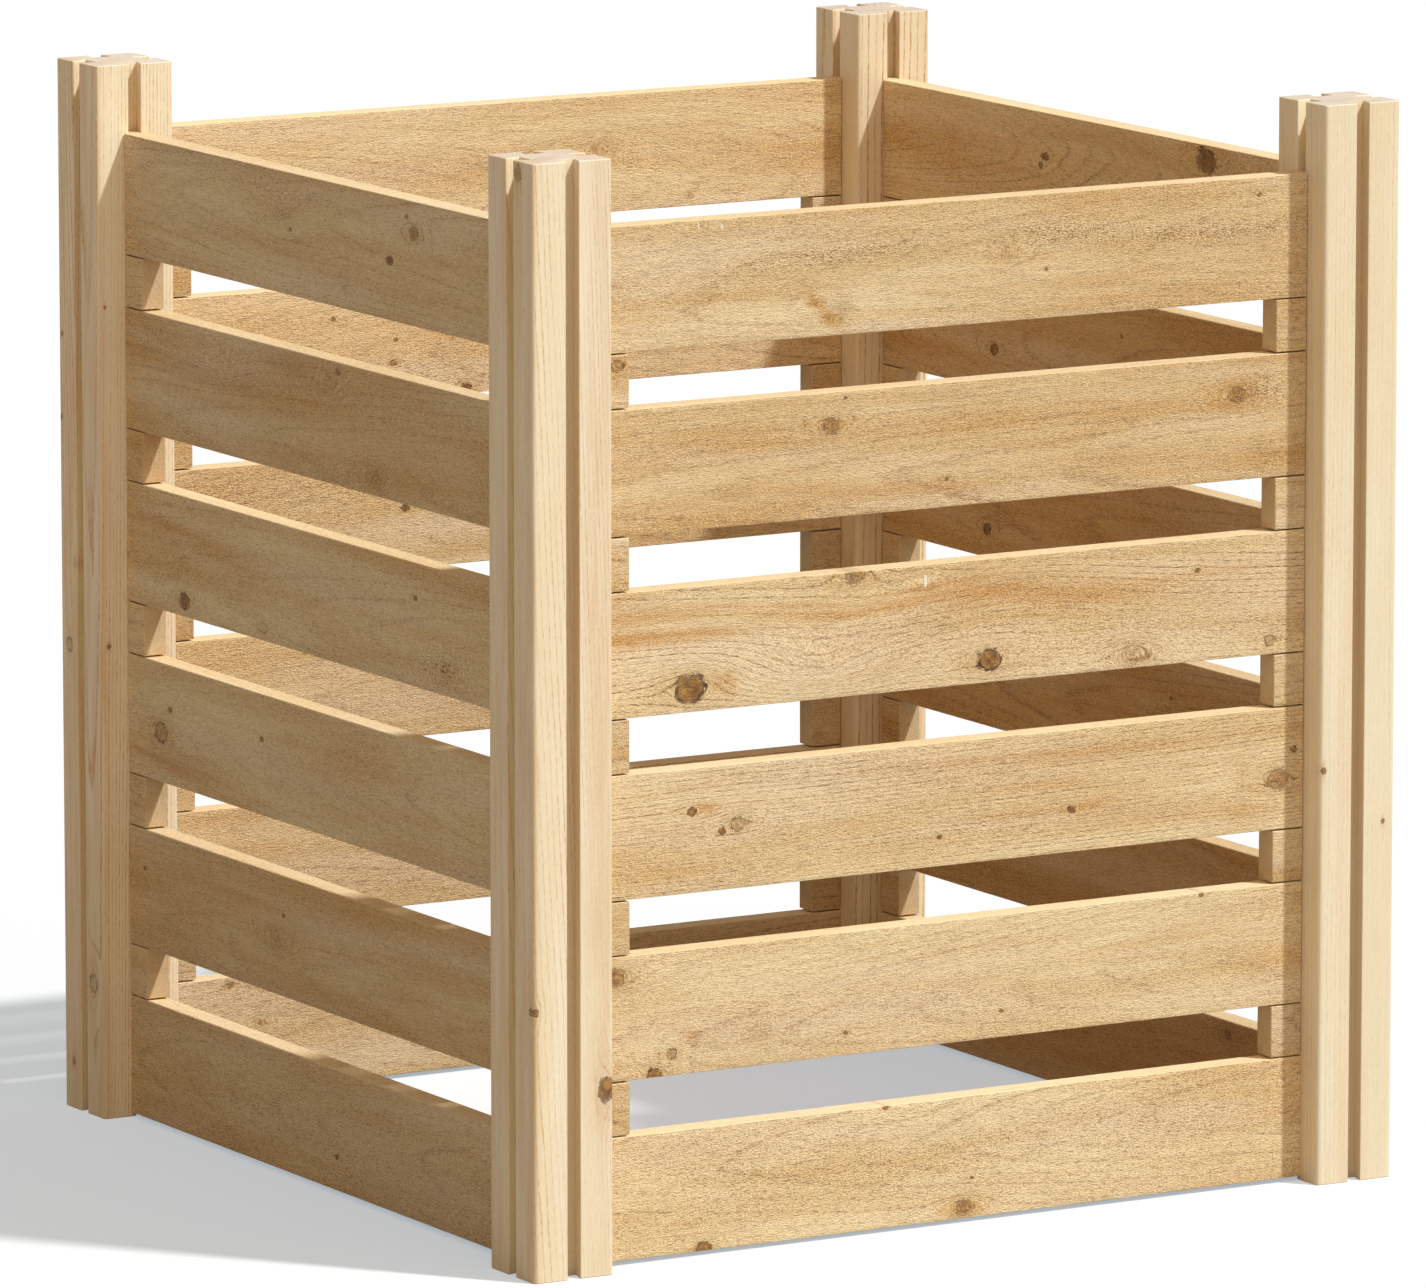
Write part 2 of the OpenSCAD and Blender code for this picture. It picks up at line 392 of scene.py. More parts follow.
def wood_fields(points, wood, shift, facing, depth_limit):
    """Values at each point that the wood materials read, from (along, across, through) in millimetres.
    grain: the place in the log, bent round each knot as a stream flows round a post, plus the shift.
    pith: the place counted in rings from the pith, which drifts along the piece, and the rings' strength.
    stain: amounts of orange, red and speckle, each a sum of soft ellipses."""
    rows, _, directions = knot_table(wood["knots"], facing)
    along, across, reach = knot_offsets(points, rows, directions, depth_limit)
    radius = rows[:, 2]
    spread = along ** 2 / 4 + across ** 2
    flow = -across * radius ** 2 / (spread + 0.6 * radius ** 2) * reach
    rise = 1.4 * radius * np.exp(-(along ** 2 / 6 + across ** 2) / (2 * radius ** 2)) * reach
    outward = np.stack([np.cos(directions), np.sin(directions)], axis=-1)
    sideways = np.stack([-outward[:, 1], outward[:, 0]], axis=-1)
    bent = points.copy()
    bent[:, 1:] += flow @ sideways - rise @ outward
    for at, across_at, length, height, amount in wood["swirls"]:
        from_centre = (points[:, 0] - at) / length
        from_line = (points[:, 1] - across_at) / height
        bent[:, 1] += amount * np.exp(-from_centre ** 2 - from_line ** 2)
    pith_across, pith_through, drift_across, drift_through, spacing, strength = wood["rings"]
    pith = np.empty_like(points)
    pith[:, 0] = (bent[:, 1] - pith_across - drift_across * points[:, 0]) / spacing
    pith[:, 1] = (bent[:, 2] - pith_through - drift_through * points[:, 0]) / spacing
    pith[:, 2] = strength
    stain = np.zeros_like(points)
    for kind, at, across_at, length, height, slope, amount in wood["stains"]:
        from_centre = points[:, 0] - at
        from_line = points[:, 1] - across_at - slope * from_centre
        ellipse = np.exp(-(from_centre / length) ** 2 - (from_line / height) ** 2)
        stain[:, STAIN_KINDS.index(kind)] += amount * ellipse
    grain = (bent + [shift, 0, 0]) * MM
    return {"grain": grain, "pith": pith, "stain": stain.clip(0, 1)}


# Painted shade and light in a post's grooves, by the side that it is on: lightness taken off at the front
# and back, and added at the sides to lift the shade in those grooves
GROOVE_PAINTED_SHADE = -0.12
GROOVE_PAINTED_LIGHT = 0.11
# A post's end faces have their middle nearer to the axis than this, and aren't counted with the grooves
END_MIDDLE = 5


def face_fields(points, corner_point, corner_face, wood, facing, depth_limit, edge_at, recess):
    """Values at each corner of a face: the offset from the knot that is nearest to the face for its radius,
    with that radius, and the knot's look. Nearest is settled once a face, so that no face mixes two knots.
    tone: lightness, warmth, and 1 on the narrow faces, which lie further across than edge_at. A groove's
    faces, nearer to the axis than recess, get painted shade at the front and back, and painted light at the
    sides."""
    rows, kinds, directions = knot_table(wood["knots"], facing)
    counts = np.bincount(corner_face)
    centre = np.stack([np.bincount(corner_face, points[corner_point, axis]) for axis in range(3)], axis=-1)
    centre /= counts[:, None]
    along, across, reach = knot_offsets(centre, rows, directions, depth_limit)
    nearest = (np.hypot(along, across) / (rows[:, 2] * (reach + 1e-4))).argmin(axis=1)[corner_face]
    corners = points[corner_point]
    along, across, reach = knot_offsets(corners, rows, directions, depth_limit)
    pick = (np.arange(len(corners)), nearest)
    offset = np.stack([along[pick], across[pick], rows[nearest, 2]], axis=-1) * MM
    on_edge = (np.abs(centre[:, 1]) > edge_at)[corner_face]
    beside, behind = np.abs(centre[:, 1:]).T
    depth_in = np.maximum(beside, behind)
    groove = ((depth_in > END_MIDDLE) & (depth_in < recess))[corner_face]
    front_back = (beside < behind)[corner_face]
    light = wood["light"] + groove * np.where(front_back, GROOVE_PAINTED_SHADE, GROOVE_PAINTED_LIGHT)
    tone = np.stack([light, np.full(len(corners), wood["warm"]), on_edge], axis=-1)
    return {"knot": offset, "knot_look": kinds[nearest] * reach[pick][:, None], "tone": tone}


def sink_knots(points, wood, facing, depth_limit):
    """Knots lie a little below the sawn face: each sinks the surface towards its middle, by the bell curve
    exp(-distance^2 / (0.7 radius^2)), and most for the kinds with dark bark."""
    rows, kinds, directions = knot_table(wood["knots"], facing)
    along, across, reach = knot_offsets(points, rows, directions, depth_limit)
    dent = KNOT_DEPTH * kinds[:, 1] * np.exp(-(along ** 2 + across ** 2) / (0.7 * rows[:, 2] ** 2)) * reach
    return dent.sum(axis=1)


# Putting a worked-out surface into Blender
def put_in_scene(name, data):
    """A new object at the origin that shows the data."""
    made = bpy.data.objects.new(name, data)
    bpy.context.scene.collection.objects.link(made)
    return made


def make_piece(name, points, placed, quads, ends, wood, seed, facing, depth_limit, edge_at, materials,
               recess=0):
    """A mesh from placed points in millimetres, with the wood's values as attributes and smooth faces that
    break at the edges. Ends are faces that show end grain."""
    mesh = bpy.data.meshes.new(name)
    mesh.from_pydata(placed * MM, [], quads.tolist() + [end.tolist() for end in ends])
    for material in materials:
        mesh.materials.append(material)
    end_grain = np.zeros(len(mesh.polygons), np.int32)
    end_grain[len(quads):] = 1
    mesh.polygons.foreach_set("material_index", end_grain)
    mesh.shade_smooth()
    mesh.set_sharp_from_angle(angle=SHARP_ANGLE)
    corner_point = np.empty(len(mesh.loops), np.int32)
    mesh.loops.foreach_get("vertex_index", corner_point)
    corner_face = np.repeat(np.arange(len(mesh.polygons)), [4] * len(quads) + [len(end) for end in ends])
    on_points = wood_fields(points, wood, LOG_STEP * seed, facing, depth_limit)
    on_corners = face_fields(points, corner_point, corner_face, wood, facing, depth_limit, edge_at, recess)
    for domain, fields in (("POINT", on_points), ("CORNER", on_corners)):
        for field, values in fields.items():
            attribute = mesh.attributes.new(field, "FLOAT_VECTOR", domain)
            attribute.data.foreach_set("vector", values.astype(np.float32).ravel())
    mesh.update()
    return put_in_scene(name, mesh)


def place_on_wall(side, points, base):
    """From (along, across, through) of a piece of the wall to the row frame: the front wall's
    (along, through - post offset, base + across), turned by 90 degrees for each side after it."""
    angle = side * math.pi / 2
    cos, sin = round(math.cos(angle)), round(math.sin(angle))
    x = points[:, 0]
    y = points[:, 2] - POST_OFFSET
    return np.stack([x * cos - y * sin, x * sin + y * cos, points[:, 1] + base], axis=-1)


# Colours
ORANGE_STAIN = "#c98c42"
RED_STAIN = "#a5774a"
KNOT_HALO = "#c3924c"
KNOT_CORE_DARK = "#60390f"
KNOT_CORE_PALE = "#ad7936"
KNOT_BARK = "#432504"
PIT_SHADOW = "#7c5327"
NICK_SHADOW = "#855526"
# Painted highlight: pale glints on the raised fibres
PAINTED_FIBRE_GLINT = "#f6e2bd"
TORN_SLIVER = "#fbeedb"
# Painted highlight on the narrow faces, with some of the paler sawn wood there
SAWN_EDGE_HIGHLIGHT = "#f0d6a8"
# No wood sends back more of the light than this
MOST_LIGHT = (0.95, 0.95, 0.95)


def srgb(code):
    """Linear red, green, blue and alpha of an sRGB hex colour."""
    parts = [int(code[i:i + 2], 16) / 255 for i in (1, 3, 5)]
    return [c / 12.92 if c <= 0.04045 else ((c + 0.055) / 1.055) ** 2.4 for c in parts] + [1.0]


def add(tree, kind, sockets=None, **settings):
    """Adds a node with its settings, fills its sockets with values or links, and returns its outputs."""
    made = tree.nodes.new("ShaderNode" + kind)
    for name, value in settings.items():
        setattr(made, name, value)
    for socket, value in (sockets or {}).items():
        if isinstance(value, bpy.types.NodeSocket):
            tree.links.new(value, made.inputs[socket])
        else:
            made.inputs[socket].default_value = value
    return made.outputs


# A map range that starts and ends gently
SOFT = {"interpolation_type": "SMOOTHSTEP"}


def empty_tree(owner):
    """The emptied node tree of a material or world."""
    owner.use_nodes = True
    owner.node_tree.nodes.clear()
    return owner.node_tree


# Patterns in the wood: cycles a metre along, across and through the grain, and the detail of the noise
PATTERNS = {
    # Bands 35 mm and 8 mm wide run nine to fourteen times as far along the grain
    "wide": ((3, 28, 28), 2.0),
    "narrow": ((9, 125, 125), 2.0),
    # Single fibres are 0.04 mm, too fine to show, so bundles 0.8 mm wide and 17 mm long are drawn
    "fibre": ((60, 1250, 1250), 2.0),
    # Torn fibre ends: dashes 5 mm long and 1 mm wide, and flecks 1.6 mm long and 0.7 mm wide
    "dashes": ((210, 1000, 1000), 1.5),
    "flecks": ((620, 1400, 1400), 1.0),
}


def wood_material(name, pale, warm, cool, late, fleck_dark, fleck_light, dash, fibre_contrast,
                  ring_contrast, roughness, relief):
    """Wood seen at three sizes: soft bands along the grain, growth rings counted from the pith, and fibres
    with raised fuzz between them, all read from the piece's own values, and darkened or coloured by knots
    and stains."""
    material = bpy.data.materials.new(name)
    tree = empty_tree(material)
    grain = add(tree, "Attribute", attribute_name="grain")["Vector"]
    pith = add(tree, "Attribute", attribute_name="pith")["Vector"]
    tone = add(tree, "SeparateXYZ", {0: add(tree, "Attribute", attribute_name="tone")["Vector"]})
    stain = add(tree, "SeparateXYZ", {0: add(tree, "Attribute", attribute_name="stain")["Vector"]})
    knot = add(tree, "Attribute", attribute_name="knot")["Vector"]
    knot_size = add(tree, "SeparateXYZ", {0: knot})["Z"]
    knot_look = add(tree, "SeparateXYZ", {0: add(tree, "Attribute", attribute_name="knot_look")["Vector"]})

    noise = {}
    for pattern, (cycles, detail) in PATTERNS.items():
        place = add(tree, "VectorMath", {0: grain, 1: cycles}, operation="MULTIPLY")[0]
        noise[pattern] = add(tree, "TexNoise", {"Vector": place, "Scale": 1.0, "Detail": detail})
    wide, narrow, fibre, dashes, flecks = [made["Fac"] for made in noise.values()]
    wide_parts = add(tree, "SeparateXYZ", {0: noise["wide"]["Color"]})

    def from_axis(scale):
        """Distance from the knot's axis in radii, with its parts along and across the grain scaled."""
        counted = add(tree, "VectorMath", {0: knot, 1: scale}, operation="MULTIPLY")[0]
        length = add(tree, "VectorMath", {0: counted}, operation="LENGTH")["Value"]
        return add(tree, "Math", {0: length, 1: knot_size}, operation="DIVIDE")[0]

    # Knots: distance from the axis in radii, made uneven, cuts out a halo, a core and a bark ring
    round_it = from_axis((0.8, 1, 0))
    beside = from_axis((0.42, 1, 0))
    per_size = add(tree, "Math", {0: 1.3, 1: knot_size}, operation="DIVIDE")[0]
    knot_place = add(tree, "VectorMath", {0: knot, "Scale": per_size}, operation="SCALE")[0]
    knot_seed = add(tree, "Math", {0: knot_size, 1: 5000.0}, operation="MULTIPLY")[0]
    uneven_noise = add(tree, "TexNoise",
                       {"Vector": knot_place, "W": knot_seed, "Scale": 1.0, "Detail": 3.0},
                       noise_dimensions="4D")
    uneven = uneven_noise["Fac"]
    uneven_parts = add(tree, "SeparateXYZ", {0: uneven_noise["Color"]})
    distance = add(tree, "Math", {0: uneven, 1: 1.1, 2: round_it}, operation="MULTIPLY_ADD")[0]
    distance = add(tree, "Math", {0: flecks, 1: 0.5, 2: distance}, operation="MULTIPLY_ADD")[0]
    distance = add(tree, "Math", {0: distance, 1: 0.8}, operation="SUBTRACT")[0]
    halo = add(tree, "Math", {0: uneven_parts["Y"], 1: 1.6, 2: beside}, operation="MULTIPLY_ADD")[0]
    halo = add(tree, "MapRange", {0: halo, 1: 1.2, 2: 3.0, 3: 1.0, 4: 0.0}, **SOFT)[0]
    halo = add(tree, "Math", {0: halo, 1: knot_look["Z"]}, operation="MULTIPLY")[0]
    core = add(tree, "MapRange", {0: distance, 1: 0.6, 2: 1.15, 3: 1.0, 4: 0.0}, **SOFT)[0]
    core = add(tree, "Math", {0: core, 1: knot_look["X"]}, operation="MULTIPLY", use_clamp=True)[0]
    sliver = from_axis((2.6, 0.7, 0))
    sliver = add(tree, "MapRange", {0: sliver, 1: 0.55, 2: 0.8, 3: -1.0, 4: 0.0})[0]
    sliver = add(tree, "Math", {0: sliver, 1: knot_look["X"]}, operation="MULTIPLY", use_clamp=True)[0]
    bark = add(tree, "Math", {0: distance, 1: 0.9}, operation="SUBTRACT")[0]
    bark = add(tree, "Math", {0: bark}, operation="ABSOLUTE")[0]
    bark = add(tree, "MapRange", {0: bark, 1: 0.04, 2: 0.24, 3: 1.0, 4: 0.0}, **SOFT)[0]
    bark_gap = add(tree, "MapRange", {0: uneven_parts["Z"], 1: 0.36, 2: 0.56, 3: 0.25, 4: 1.0})[0]
    bark = add(tree, "Math", {0: bark, 1: bark_gap}, operation="MULTIPLY")[0]
    bark = add(tree, "Math", {0: bark, 1: knot_look["Y"]}, operation="MULTIPLY", use_clamp=True)[0]

    # Growth rings: the count from the pith wavers with the bands, and each ring ends in a thin dark line
    flat_pith = add(tree, "VectorMath", {0: pith, 1: (1, 1, 0)}, operation="MULTIPLY")[0]
    ring_strength = add(tree, "SeparateXYZ", {0: pith})["Z"]
    count = add(tree, "VectorMath", {0: flat_pith}, operation="LENGTH")["Value"]
    count = add(tree, "Math", {0: wide, 1: 1.6, 2: count}, operation="MULTIPLY_ADD")[0]
    count = add(tree, "Math", {0: narrow, 1: 0.35, 2: count}, operation="MULTIPLY_ADD")[0]
    count = add(tree, "Math", {0: fibre, 1: 0.25, 2: count}, operation="MULTIPLY_ADD")[0]
    part = add(tree, "Math", {0: count}, operation="FRACT")[0]
    ring_number = add(tree, "Math", {0: count}, operation="FLOOR")[0]
    ring_chance = add(tree, "TexWhiteNoise", {"W": ring_number}, noise_dimensions="1D")["Value"]
    late_rise = add(tree, "MapRange", {0: part, 1: 0.68, 2: 0.92, 3: 0.0, 4: 1.0}, **SOFT)[0]
    late_fall = add(tree, "MapRange", {0: part, 1: 0.92, 2: 1.0, 3: 1.0, 4: 0.0}, **SOFT)[0]
    late_line = add(tree, "Math", {0: late_rise, 1: late_fall}, operation="MULTIPLY")[0]
    ring_share = add(tree, "MapRange", {0: ring_chance, 1: 0.0, 2: 1.0, 3: 0.3, 4: 0.85})[0]
    late_line = add(tree, "Math", {0: late_line, 1: ring_share}, operation="MULTIPLY")[0]
    ring_strength = add(tree, "Math", {0: halo, 1: 0.6, 2: ring_strength}, operation="MULTIPLY_ADD")[0]
    ring_gate = add(tree, "MapRange", {0: wide_parts["Z"], 1: 0.35, 2: 0.6, 3: 0.35, 4: 1.2})[0]
    ring_strength = add(tree, "Math", {0: ring_strength, 1: ring_gate}, operation="MULTIPLY")[0]
    late_line = add(tree, "Math", {0: late_line, 1: ring_strength}, operation="MULTIPLY")[0]
    broken = add(tree, "MapRange", {0: dashes, 1: 0.36, 2: 0.62, 3: 1.4, 4: 0.45})[0]
    late_line = add(tree, "Math", {0: late_line, 1: broken}, operation="MULTIPLY")[0]
    late_amount = add(tree, "Math", {0: late_line, 1: ring_contrast}, operation="MULTIPLY",
                      use_clamp=True)[0]

    # Colour of the clear wood
    warmth = add(tree, "Math", {0: wide, 1: 1.7, 2: tone["Y"]}, operation="MULTIPLY_ADD")[0]
    warmth = add(tree, "Math", {0: narrow, 1: 0.8, 2: warmth}, operation="MULTIPLY_ADD")[0]
    warmth = add(tree, "Math", {0: warmth, 1: 1.25}, operation="SUBTRACT", use_clamp=True)[0]
    colour = add(tree, "Mix", {0: warmth, 6: srgb(pale), 7: srgb(warm)}, data_type="RGBA")[2]
    coolness = add(tree, "MapRange", {0: wide_parts["Y"], 1: 0.48, 2: 0.66, 3: 0.0, 4: 0.6})[0]
    colour = add(tree, "Mix", {0: coolness, 6: colour, 7: srgb(cool)}, data_type="RGBA")[2]
    colour = add(tree, "Mix", {0: late_amount, 6: colour, 7: srgb(late)}, data_type="RGBA")[2]

    # Stains follow the bands, so that their ends break up along the grain
    band_gate = add(tree, "MapRange", {0: narrow, 1: 0.3, 2: 0.62, 3: 0.35, 4: 1.0})[0]
    orange_amount = add(tree, "Math", {0: stain["X"], 1: band_gate}, operation="MULTIPLY")[0]
    orange_amount = add(tree, "Math", {0: orange_amount, 1: 0.9}, operation="MULTIPLY", use_clamp=True)[0]
    colour = add(tree, "Mix", {0: orange_amount, 6: colour, 7: srgb(ORANGE_STAIN)}, data_type="RGBA")[2]
    red_amount = add(tree, "Math", {0: stain["Y"], 1: band_gate}, operation="MULTIPLY")[0]
    red_amount = add(tree, "Math", {0: red_amount, 1: 0.6}, operation="MULTIPLY", use_clamp=True)[0]
    colour = add(tree, "Mix", {0: red_amount, 6: colour, 7: srgb(RED_STAIN)}, data_type="RGBA")[2]

    # Knots over the clear wood
    halo_amount = add(tree, "Math", {0: halo, 1: 0.6}, operation="MULTIPLY")[0]
    colour = add(tree, "Mix", {0: halo_amount, 6: colour, 7: srgb(KNOT_HALO)}, data_type="RGBA")[2]
    core_mix = add(tree, "MapRange", {0: uneven_parts["Y"], 1: 0.36, 2: 0.62, 3: 0.0, 4: 1.0})[0]
    core_colour = add(tree, "Mix", {0: core_mix, 6: srgb(KNOT_CORE_DARK), 7: srgb(KNOT_CORE_PALE)},
                      data_type="RGBA")[2]
    colour = add(tree, "Mix", {0: core, 6: colour, 7: core_colour}, data_type="RGBA")[2]
    colour = add(tree, "Mix", {0: bark, 6: colour, 7: srgb(KNOT_BARK)}, data_type="RGBA")[2]

    # Painted shadows and highlights of the flecks: dark pits and nicks where they would throw tiny shadows,
    # and pale glints where they would catch light, in patches and most where the saw tore the fibres
    patch = add(tree, "MapRange", {0: wide_parts["X"], 1: 0.38, 2: 0.62, 3: 0.5, 4: 0.95})[0]
    patch = add(tree, "Math", {0: stain["Z"], 1: 1.3, 2: patch}, operation="MULTIPLY_ADD")[0]
    patch = add(tree, "Math", {0: core, 1: 0.8, 2: patch}, operation="MULTIPLY_ADD")[0]
    flat = add(tree, "Math", {0: tone["Z"], 1: -0.6, 2: 1.0}, operation="MULTIPLY_ADD")[0]
    patch = add(tree, "Math", {0: patch, 1: flat}, operation="MULTIPLY")[0]
    pit = add(tree, "MapRange", {0: flecks, 1: 0.32, 2: 0.52, 3: 1.0, 4: 0.0}, **SOFT)[0]
    pit = add(tree, "Math", {0: pit, 1: patch}, operation="MULTIPLY")[0]
    pit = add(tree, "Math", {0: pit, 1: fleck_dark}, operation="MULTIPLY", use_clamp=True)[0]
    colour = add(tree, "Mix", {0: pit, 6: colour, 7: srgb(PIT_SHADOW)}, data_type="RGBA")[2]
    nick = add(tree, "MapRange", {0: dashes, 1: 0.3, 2: 0.44, 3: 0.8, 4: 0.0}, **SOFT)[0]
    nick = add(tree, "Math", {0: nick, 1: patch}, operation="MULTIPLY")[0]
    nick = add(tree, "Math", {0: nick, 1: fleck_dark}, operation="MULTIPLY", use_clamp=True)[0]
    colour = add(tree, "Mix", {0: nick, 6: colour, 7: srgb(NICK_SHADOW)}, data_type="RGBA")[2]
    glint = add(tree, "MapRange", {0: flecks, 1: 0.5, 2: 0.7, 3: 0.0, 4: 1.0}, **SOFT)[0]
    knot_free = add(tree, "Math", {0: core, 1: bark}, operation="MAXIMUM")[0]
    knot_free = add(tree, "Math", {0: 1.0, 1: knot_free}, operation="SUBTRACT", use_clamp=True)[0]
    glint = add(tree, "Math", {0: glint, 1: knot_free}, operation="MULTIPLY")[0]
    glint = add(tree, "Math", {0: glint, 1: fleck_light}, operation="MULTIPLY")[0]
    colour = add(tree, "Mix", {0: glint, 6: colour, 7: srgb(PAINTED_FIBRE_GLINT)}, data_type="RGBA")[2]
    colour = add(tree, "Mix", {0: sliver, 6: colour, 7: srgb(TORN_SLIVER)}, data_type="RGBA")[2]
    # Narrow faces are paler: a painted highlight as on tops that the sun strikes, laid on the top and bottom
    # faces alike, with some of the paler sawn wood
    sawn_edge_highlight = add(tree, "Math", {0: tone["Z"], 1: 0.45}, operation="MULTIPLY")[0]
    colour = add(tree, "Mix", {0: sawn_edge_highlight, 6: colour, 7: srgb(SAWN_EDGE_HIGHLIGHT)}, data_type="RGBA")[2]
    shade = add(tree, "Math", {0: fibre, 1: fibre_contrast, 2: 1.0 - (fibre_contrast + dash) / 2},
                operation="MULTIPLY_ADD")[0]
    shade = add(tree, "Math", {0: dashes, 1: dash, 2: shade}, operation="MULTIPLY_ADD")[0]
    shade = add(tree, "Math", {0: shade, 1: tone["X"]}, operation="MULTIPLY")[0]
    colour = add(tree, "VectorMath", {0: colour, "Scale": shade}, operation="SCALE")[0]
    colour = add(tree, "VectorMath", {0: colour, 1: MOST_LIGHT}, operation="MINIMUM")[0]

    # Surface
    rough = add(tree, "MapRange", {0: fibre, 1: 0.3, 2: 0.7, 3: roughness - 0.08, 4: roughness + 0.08})[0]
    height = add(tree, "Math", {0: fibre, 1: 0.4, 2: flecks}, operation="MULTIPLY_ADD")[0]
    height = add(tree, "Math", {0: dashes, 1: 0.7, 2: height}, operation="MULTIPLY_ADD")[0]
    normal = add(tree, "Bump", {"Strength": 1.0, "Distance": relief * MM, "Height": height})[0]
    shader = add(tree, "BsdfPrincipled", {"Base Color": colour, "Roughness": rough, "Normal": normal})[0]
    add(tree, "OutputMaterial", {"Surface": shader})
    return material


# Western red cedar, rough-sawn: warm tan and cream with a nap of torn fibres that breaks up the light
board_wood = wood_material("rough_sawn_cedar", "#ebce9c", "#d19e59", "#e9cba4", "#8f5a26", fleck_dark=0.5,
                           fleck_light=0.45, dash=0.45, fibre_contrast=0.45, ring_contrast=1.7,
                           roughness=0.8, relief=0.5)
# The same cedar planed: paler and silkier, with the rings drawn as fine straight lines
post_wood = wood_material("planed_cedar", "#f6e3c2", "#eecb9d", "#efdab0", "#c9985f", fleck_dark=0.06,
                          fleck_light=0.05, dash=0.08, fibre_contrast=0.16, ring_contrast=1.0,
                          roughness=0.6, relief=0.06)
# Cut across the grain the open pores swallow light, so the ends are duller, and pinker on the posts
board_end = wood_material("cedar_board_end", "#e0c69c", "#cfa673", "#d0b88c", "#98693e", fleck_dark=0.4,
                          fleck_light=0.1, dash=0.3, fibre_contrast=0.3, ring_contrast=0.8,
                          roughness=0.85, relief=0.2)
post_end = wood_material("cedar_post_end", "#d6c5b1", "#cbb39a", "#cfbfaa", "#b99779", fleck_dark=0.15,
                         fleck_light=0.1, dash=0.2, fibre_contrast=0.2, ring_contrast=0.6,
                         roughness=0.8, relief=0.1)


# Walls: a board's knots go right through it, and their places are given on the face that looks outwards
BOARD_DEPTH = (0.0, 400.0)
OUTER_FACE = -90.0
# Points this near to a board's face are sunk with its knots
FACE_SKIN = 1


def build_block(name, side, base, height, row_sets, wood, seed, seam, body):
    """One board, or a pair of spacers, sunk where its knots are and set into the wall."""
    rng = np.random.default_rng(FIRST_SURFACE_SEED + seed)
    all_points = []
    all_quads = []
    all_ends = []
    start = 0
    for rows in row_sets:
        points, quads, ends = block_surface(rng, rows, height - 2 * seam, SAW_RELIEF)
        all_points.append(points)
        all_quads.append(quads + start)
        all_ends += [end + start for end in ends]
        start += len(points)
    points = np.concatenate(all_points)
    quads = np.concatenate(all_quads)
    wood = dict(wood, knots=[(k[0], k[1] - height / 2) + tuple(k[2:]) for k in wood["knots"]],
                swirls=[(s[0], s[1] - height / 2) + tuple(s[2:]) for s in wood["swirls"]],
                stains=[(s[0], s[1], s[2] - height / 2) + tuple(s[3:]) for s in wood["stains"]],
                rings=(wood["rings"][0] - height / 2,) + tuple(wood["rings"][1:]))
    on_face = np.abs(points[:, 2]) > WALL_THICKNESS / 2 - FACE_SKIN
    dent = sink_knots(points, wood, OUTER_FACE, BOARD_DEPTH) * on_face
    points[:, 2] -= np.sign(points[:, 2]) * dent
    placed = place_on_wall(side, points, base + height / 2)
    piece = make_piece(name + "_wood", points, placed, quads, all_ends, wood, seed, OUTER_FACE, BOARD_DEPTH,
                       height / 2 - seam - BOARD_EASE, [board_wood, board_end])
    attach(piece, body)
    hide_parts(name)


def mirrored(rows):
    """The same stations at the other end of the wall, still in rising order."""
    return [(-a, half, inset) for a, half, inset in rows[::-1]]


SPACER_LOOKS = {"front_spacers_5": look(1.0, 0.6, knots=[(-276, 31, 4.2, "ringed")])}
for side, wall in enumerate(SIDES):
    for level in range(1, BOARD_COUNT + 1):
        name = f"{wall}_board_{level}"
        low, high = node_box(name)
        seed = side * SEEDS_A_WALL + level
        wood = LOOKS.get(name) or grown_look(np.random.default_rng(seed))
        gap = 0 if level == 1 else SHOULDER_GAP
        body = FIXED_BODY if level == 1 else name
        build_block(name, side, low[2], high[2] - low[2], [board_rows(gap)], wood, seed, BOARD_SEAM, body)
    for level in range(1, BOARD_COUNT):
        name = f"{wall}_spacers_{level}"
        low, high = node_box(name)
        seed = FIRST_SPACER_SEED + side * SEEDS_A_WALL + level
        wood = SPACER_LOOKS.get(name) or dict(grown_look(np.random.default_rng(seed)), knots=[])
        both_ends = [mirrored(spacer_rows()), spacer_rows()]
        build_block(name, side, low[2], high[2] - low[2], both_ends, wood, seed, SPACER_SEAM, name)

# Posts: knots are (along, across its face, radius, kind, the way that face looks in degrees)
FRONT = -90
LEFT = 180
POST_DEPTH = (POST_WIDTH / 2, 4.0)
# Faces whose middle lies this far or less under the flats are flats or round corners, not groove
FLAT_SKIN = 0.8
POST_LOOKS = {
    "front_left": look(1.03, 0.05, (-60, 45, -0.02, 0.02, 2.4, 0.75), [
        (133, 26, 7, "dead", FRONT), (192, -30, 2.2, "pin", FRONT), (192, 27, 2.2, "pin", LEFT),
        (777, 12, 5, "sound", LEFT)],
        stains=[("orange", 390, 22, 900, 12, 0.0, 0.35), ("orange", 390, -32, 900, 4, 0.0, 0.4)]),
    "front_right": look(1.0, 0.2, (80, 60, 0.02, -0.02, 2.8, 0.4), [
        (304, -29, 2, "pin", FRONT), (263, 22, 1.6, "pin", FRONT)]),
    "back_left": look(1.06, 0.12, (-80, -20, 0.015, 0.01, 2.8, 1.5), [
        (581, -26, 1.8, "pin", LEFT), (519, -28, 1.8, "pin", LEFT), (607, -26, 1.2, "pin", FRONT),
        (350, -18, 4.5, "ringed", LEFT), (355, -25, 1.6, "pin", FRONT), (100, 16, 6, "ringed", LEFT),
        (36, -17, 2.6, "sound", LEFT), (412, -8, 3, "ghost", LEFT)],
        stains=[("orange", 390, -32, 900, 5, 0.0, 0.5)]),
    "back_right": look(0.98, 0.4, (80, -30, 0.015, 0.01, 6.0, 1.6)),
}
